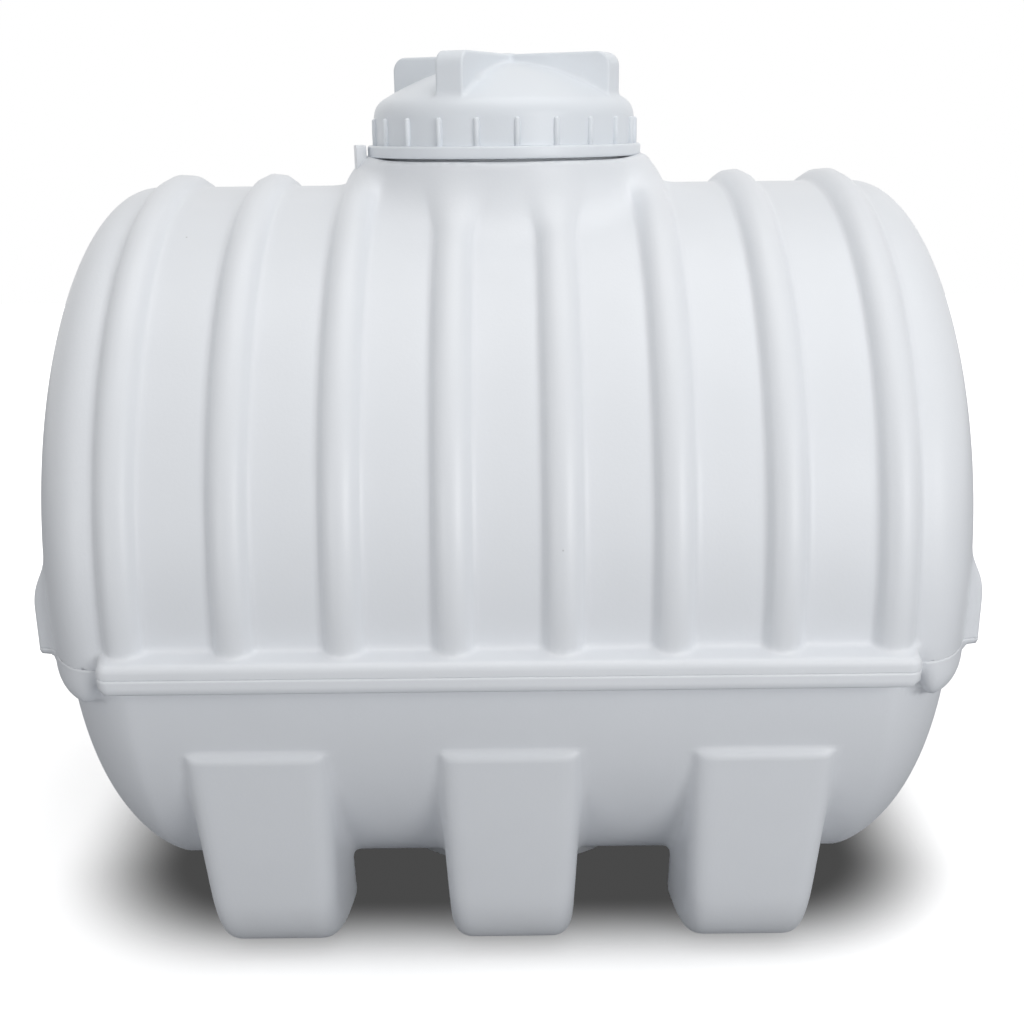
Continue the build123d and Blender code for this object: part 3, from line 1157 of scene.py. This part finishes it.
def speck_group() -> bpy.types.NodeTree:
    """Makes the few tiny dark specks that lie in the plastic."""
    kinds = {"Vector": (Sockets.VECTOR, 0.0), "Cells": (Sockets.VALUE, 14.0), "Size": (Sockets.VALUE, 0.03)}
    group, sheet, source, target = new_group("specks", kinds, {"Mask": Sockets.VALUE})
    cells = sheet.add(
        "ShaderNodeTexVoronoi", {"Vector": source.outputs["Vector"], "Scale": source.outputs["Cells"]}
    )
    rarity = sheet.add("ShaderNodeSeparateColor", {"Color": cells.outputs["Color"]})
    chosen = sheet.math("GREATER_THAN", rarity.outputs["Red"], 0.86)
    near = sheet.ramped(cells.outputs["Distance"], source.outputs["Size"], 0.0, 0.0, 1.0)
    sheet.tree.links.new(sheet.math("MULTIPLY", chosen, near), target.inputs["Mask"])
    return group


def dust_group() -> bpy.types.NodeTree:
    """Makes the light film of dust that gathers low on the tank."""
    kinds = {"Vector": (Sockets.VECTOR, 0.0), "Top": (Sockets.VALUE, 0.1), "Scale": (Sockets.VALUE, 11.0)}
    group, sheet, source, target = new_group("settled dust", kinds, {"Mask": Sockets.VALUE})
    parts = sheet.add("ShaderNodeSeparateXYZ", {"Vector": source.outputs["Vector"]})
    low = sheet.ramped(parts.outputs["Z"], source.outputs["Top"], 0.0, 0.0, 1.0)
    cloud = sheet.noise(source.outputs["Vector"], source.outputs["Scale"])
    patches = sheet.ramped(cloud, 0.3, 0.7, 0.25, 1.0)
    sheet.tree.links.new(sheet.math("MULTIPLY", low, patches), target.inputs["Mask"])
    return group


@dataclass(frozen=True)
class Effects:
    """The shared effects, built once."""

    tone: bpy.types.NodeTree
    peel: bpy.types.NodeTree
    specks: bpy.types.NodeTree
    dust: bpy.types.NodeTree


@dataclass(frozen=True)
class MouldedPlastic:
    """Satin white polyethylene as it leaves the mould."""

    name: str
    colour: tuple[float, float, float] = (0.778, 0.800, 0.832)
    dust_colour: tuple[float, float, float] = (0.55, 0.54, 0.51)
    speck_colour: tuple[float, float, float] = (0.30, 0.30, 0.30)
    roughness: float = 0.40
    gloss: float = 0.42
    tone_scale: float = 2.6
    tone_amount: float = 0.045
    peel_scale: float = 240.0
    wave_scale: float = 7.0
    wave_share: float = 8.0
    bump_strength: float = 0.10
    bump_distance: float = 0.0012
    dust_share: float = 0.16
    dust_top: float = 0.16

    def build(self, effects: Effects) -> bpy.types.Material:
        """Makes the material.

        Args:
            effects: The shared effects.

        Returns:
            The material.
        """
        material = bpy.data.materials.new(self.name)
        material.use_nodes = True
        material.node_tree.nodes.clear()
        sheet = Sheet(material.node_tree)
        place = sheet.add("ShaderNodeTexCoord").outputs["Object"]
        tone_inputs = {"Vector": place, "Scale": self.tone_scale, "Amount": self.tone_amount}
        tone = sheet.add("ShaderNodeGroup", tone_inputs, node_tree=effects.tone)
        toned = sheet.add(
            "ShaderNodeVectorMath", {0: (*self.colour,), 1: tone.outputs["Tone"]}, operation="MULTIPLY"
        )
        dust = sheet.add("ShaderNodeGroup", {"Vector": place, "Top": self.dust_top}, node_tree=effects.dust)
        dust_mask = sheet.math("MULTIPLY", dust.outputs["Mask"], self.dust_share)
        dusted = sheet.blended(dust_mask, toned.outputs[0], (*self.dust_colour, 1.0))
        specks = sheet.add("ShaderNodeGroup", {"Vector": place}, node_tree=effects.specks)
        specked = sheet.blended(specks.outputs["Mask"], dusted, (*self.speck_colour, 1.0))
        peel_inputs = {
            "Vector": place, "Peel": self.peel_scale, "Wave": self.wave_scale, "Wave Share": self.wave_share,
        }
        peel = sheet.add("ShaderNodeGroup", peel_inputs, node_tree=effects.peel)
        bump_inputs = {
            "Strength": self.bump_strength, "Distance": self.bump_distance, "Height": peel.outputs["Height"],
        }
        bump = sheet.add("ShaderNodeBump", bump_inputs)
        dull, glossy = self.roughness + 0.05, self.roughness - 0.05
        rough = sheet.ramped(tone.outputs["Tone"], 0.97, 1.03, dull, glossy)
        shader = sheet.add(
            "ShaderNodeBsdfPrincipled",
            {"Base Color": specked, "Roughness": rough, "Normal": bump.outputs["Normal"],
             "Specular IOR Level": self.gloss},
        )
        sheet.add("ShaderNodeOutputMaterial", {"Surface": shader.outputs["BSDF"]})
        return material


@dataclass(frozen=True)
class SealRubber:
    """The dark rubber of the lid's seal."""

    colour: tuple[float, float, float] = (0.035, 0.036, 0.038)
    worn_gain: float = 1.6
    roughness: float = 0.62

    def build(self, effects: Effects) -> bpy.types.Material:
        """Makes the material.

        Args:
            effects: The shared effects, which are not used.

        Returns:
            The material.
        """
        material = bpy.data.materials.new("seal_rubber")
        material.use_nodes = True
        sheet = Sheet(material.node_tree)
        shader = material.node_tree.nodes["Principled BSDF"]
        place = sheet.add("ShaderNodeTexCoord").outputs["Object"]
        grain = sheet.noise(place, 300.0)
        worn = tuple(self.worn_gain * part for part in self.colour)
        tint = sheet.blended(grain, (*self.colour, 1.0), (*worn, 1.0))
        bump = sheet.add("ShaderNodeBump", {"Strength": 0.2, "Distance": 0.0004, "Height": grain})
        sheet.tree.links.new(tint, shader.inputs["Base Color"])
        sheet.tree.links.new(bump.outputs["Normal"], shader.inputs["Normal"])
        shader.inputs["Roughness"].default_value = self.roughness
        return material


# The studio


@dataclass(frozen=True)
class StudioCamera:
    """The camera, where the photograph was taken from."""

    place: tuple[float, float, float] = (0.006, -2.005, 1.183)
    pitch_down: float = math.radians(16.98)
    roll: float = math.radians(-0.62)
    focal_pixels: float = 1269.0
    frame_pixels: float = 1024.0
    sensor: float = 36.0

    def build(self) -> None:
        """Makes the camera and looks through it."""
        data = bpy.data.cameras.new("studio_camera")
        data.sensor_fit = "HORIZONTAL"
        data.sensor_width = self.sensor
        data.lens = self.sensor * self.focal_pixels / self.frame_pixels
        data.clip_start = 0.05
        data.clip_end = 60.0
        camera = bpy.data.objects.new("studio_camera", data)
        tilt = Matrix.Rotation(math.pi / 2.0 - self.pitch_down, 4, "X")
        turn = tilt @ Matrix.Rotation(self.roll, 4, "Z")
        camera.matrix_world = Matrix.Translation(self.place) @ turn
        bpy.context.scene.collection.objects.link(camera)
        bpy.context.scene.camera = camera


@dataclass(frozen=True)
class SoftLamp:
    """A square soft lamp that points at the tank."""

    name: str
    place: tuple[float, float, float]
    size: float
    watts: float
    aim: tuple[float, float, float] = (0.0, 0.0, 0.6)

    def build(self) -> None:
        """Makes the lamp."""
        data = bpy.data.lights.new(self.name, "AREA")
        data.size = self.size
        data.energy = self.watts
        lamp = bpy.data.objects.new(self.name, data)
        direction = Vector(self.aim) - Vector(self.place)
        turn = direction.to_track_quat("-Z", "Y").to_matrix().to_4x4()
        lamp.matrix_world = Matrix.Translation(self.place) @ turn
        bpy.context.scene.collection.objects.link(lamp)


@dataclass(frozen=True)
class Studio:
    """The pale floor, the white surroundings and the lamps."""

    floor_half: float = 7.0
    floor_seen: tuple[float, float, float] = (0.97, 0.97, 0.97)
    floor_bounce: tuple[float, float, float] = (0.34, 0.35, 0.37)
    floor_lift: float = 0.50
    far_lift: float = 0.50
    # Painted shadow: the dark level, the core box, the spread and the start of a soft pool painted by
    # position on the floor under the tank.
    painted_shadow_level: float = 0.066
    painted_shadow_core: tuple[float, float, float] = (0.40, 0.12, 0.0)
    painted_shadow_spread: tuple[float, float, float] = (0.38, 0.33, 1.0)
    painted_shadow_start: float = 0.38
    surround: float = 0.385
    lamps: tuple[SoftLamp, ...] = (
        SoftLamp("key_lamp", (2.0, -3.1, 1.5), 1.6, 44.0),
        SoftLamp("fill_lamp", (-2.2, -3.0, 1.1), 1.6, 16.0),
        SoftLamp("top_lamp", (0.4, -0.5, 4.0), 3.0, 44.0),
    )

    def build(self) -> None:
        """Makes the floor, the surroundings, the lamps and the camera."""
        self.build_floor()
        self.build_surround()
        for lamp in self.lamps:
            lamp.build()
        StudioCamera().build()
        bpy.context.scene.view_settings.view_transform = "Standard"

    def build_floor(self) -> None:
        """Makes the pale floor, white away from the tank, with a painted shadow under it: a soft dark pool
        laid by position, not cast by the lamps.
        """
        shape = bmesh.new()
        bmesh.ops.create_grid(shape, x_segments=2, y_segments=2, size=self.floor_half)
        floor = as_object(shape, "studio_floor")
        material = bpy.data.materials.new("pale_floor")
        material.use_nodes = True
        material.node_tree.nodes.clear()
        sheet = Sheet(material.node_tree)
        place = sheet.add("ShaderNodeTexCoord").outputs["Object"]
        # Painted shadow: how far each floor point lies outside a rounded box under the tank.
        for operation, value in (
            ("ABSOLUTE", None), ("SUBTRACT", self.painted_shadow_core), ("MAXIMUM", (0.0, 0.0, 0.0)),
            ("DIVIDE", self.painted_shadow_spread),
        ):
            inputs = {0: place} if value is None else {0: place, 1: value}
            place = sheet.add("ShaderNodeVectorMath", inputs, operation=operation).outputs[0]
        away = sheet.add("ShaderNodeVectorMath", {0: place}, operation="LENGTH").outputs["Value"]
        outside_painted_shadow = sheet.ramped(away, self.painted_shadow_start, 1.0, 0.0, 1.0)
        far_share = sheet.ramped(away, 1.0, 4.0, self.floor_lift, self.floor_lift + self.far_lift)
        seen_colour = sheet.add(
            "ShaderNodeVectorMath", {0: self.floor_seen, 1: outside_painted_shadow}, operation="MULTIPLY"
        )
        matt = sheet.add("ShaderNodeBsdfDiffuse", {"Color": seen_colour.outputs[0]})
        glow = sheet.math("MULTIPLY", outside_painted_shadow, far_share)
        # Inside the painted shadow the floor glows only at the painted shadow's dark level.
        painted_shadow_share = sheet.math("SUBTRACT", 1.0, outside_painted_shadow)
        strength = sheet.math("MULTIPLY_ADD", painted_shadow_share, self.painted_shadow_level, glow)
        lift = sheet.add("ShaderNodeEmission", {"Strength": strength})
        both = sheet.add("ShaderNodeAddShader", {0: matt.outputs[0], 1: lift.outputs[0]})
        bounce = sheet.add("ShaderNodeBsdfDiffuse", {"Color": (*self.floor_bounce, 1.0)})
        seen = sheet.add("ShaderNodeLightPath").outputs["Is Camera Ray"]
        shown = sheet.add("ShaderNodeMixShader", {0: seen, 1: bounce.outputs[0], 2: both.outputs[0]})
        sheet.add("ShaderNodeOutputMaterial", {"Surface": shown.outputs[0]})
        floor.data.materials.append(material)

    def build_surround(self) -> None:
        """Makes the soft light from all round, white where it is seen."""
        world = bpy.data.worlds.new("studio_surround")
        world.use_nodes = True
        world.node_tree.nodes.clear()
        sheet = Sheet(world.node_tree)
        path = sheet.add("ShaderNodeLightPath")
        seen = sheet.math("MAXIMUM", path.outputs["Is Camera Ray"], path.outputs["Is Glossy Ray"])
        strength = sheet.ramped(seen, 0.0, 1.0, self.surround, 1.0)
        light = sheet.add("ShaderNodeBackground", {"Color": (1.0, 1.0, 1.0, 1.0), "Strength": strength})
        sheet.add("ShaderNodeOutputWorld", {"Surface": light.outputs[0]})
        bpy.context.scene.world = world


# The whole tank


def planned_moulding() -> Moulding:
    """Sets out the forms of the moulding, with their places from the frame."""
    seam_drop = 0.0215
    axis_rise = 0.046
    neck_rise = 0.038
    rib_height = 0.019
    rib_cord = 0.027
    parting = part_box("rib_1")[0].z
    seam = parting - seam_drop
    ledge_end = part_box("ledge_front")[1].x
    lug_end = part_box("lug_front_right")[1]
    throat_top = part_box("manway_neck")[1].z
    radius = 0.510
    axis = parting + axis_rise
    upper = DishedBarrel(radius=radius, axis_height=axis, straight_end=0.532, dish_depth=0.120)
    return Moulding(
        upper=UpperBody(upper, seam, shoulder_floor=seam - 0.064, hidden_floor=seam - 0.006),
        lower=DishedBarrel(
            radius=0.490, axis_height=parting - 0.022, straight_end=0.500, dish_depth=0.146,
            crown_power=1.39, rim_power=4.4,
        ),
        ribs=Ribs(
            places=(0.070, 0.210, 0.350, 0.490), axis_height=axis, ring_radius=radius + rib_height - rib_cord,
            cord_radius=rib_cord, foot_height=seam + 0.012,
        ),
        ledge=Ledge(
            half_length=ledge_end + 0.0055, half_width=0.540, bottom=seam - 0.0225, top=seam + 0.018,
            root_depth=0.507, root_height=seam + 0.0256, corner_radius=0.016, edge_radius=0.006,
        ),
        feet=Feet(
            pitch=0.343, sole_half_width=0.0835, draft=0.0430, splay=0.08, toe=0.4125, lean=0.18,
            heel=0.232, heel_lean=0.40, corner=0.030, heel_corner=0.016, toe_roll=0.125,
            top=parting - 0.164,
        ),
        lugs=Lugs(
            offset=0.400, half_width=0.030, reach=lug_end.x + 0.001, root=0.540, bottom=seam - 0.010,
            top=parting + 0.124, brow_radius=0.090, edge_radius=0.006,
        ),
        neck=Upright(radius=0.2075, top=axis + radius + neck_rise, edge_radius=0.003),
        throat=Upright(radius=0.185, top=throat_top, edge_radius=0.003),
    )


def skin_nodes(side: Side) -> list[str]:
    """Names the solids that one skin of the moulding stands for."""
    upper = ("rib_", "wall_bay_", "ledge_", "lug_", "manway_neck")
    names = []
    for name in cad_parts:
        belongs_up = name.startswith(upper) or name.endswith("_upper")
        belongs_down = name.startswith(("lower_barrel", "shoulder", "foot_")) or name.endswith("_lower")
        if (side is Side.UPPER and belongs_up) or (side is Side.LOWER and belongs_down):
            names.append(name)
    return names


def main() -> None:
    """Builds the tank, its lid and the studio, in order."""
    logging.basicConfig(level=logging.INFO, format="%(message)s")
    effects = Effects(tone_drift_group(), peel_group(), speck_group(), dust_group())
    tank_plastic = MouldedPlastic("tank_plastic").build(effects)
    lid_plastic = MouldedPlastic(
        "lid_plastic", colour=(0.765, 0.800, 0.840), roughness=0.36, tone_amount=0.02, dust_share=0.0
    ).build(effects)
    shell = TankShell(planned_moulding())
    for side in Side:
        skin = shell.skin(side)
        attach(skin, TANK_BODY)
        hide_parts(*skin_nodes(side))
        skin.data.materials.append(tank_plastic)
        log.info("%s: %d faces", skin.name, len(skin.data.polygons))
    bracket = LockLug().build()
    bracket.data.materials.append(tank_plastic)
    for piece in Lid().build():
        piece.data.materials.append(lid_plastic)
    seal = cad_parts["lid_seal"]
    seal.data.materials.clear()
    seal.data.materials.append(SealRubber().build(effects))
    Studio().build()


if __name__ == "__main__":
    main()
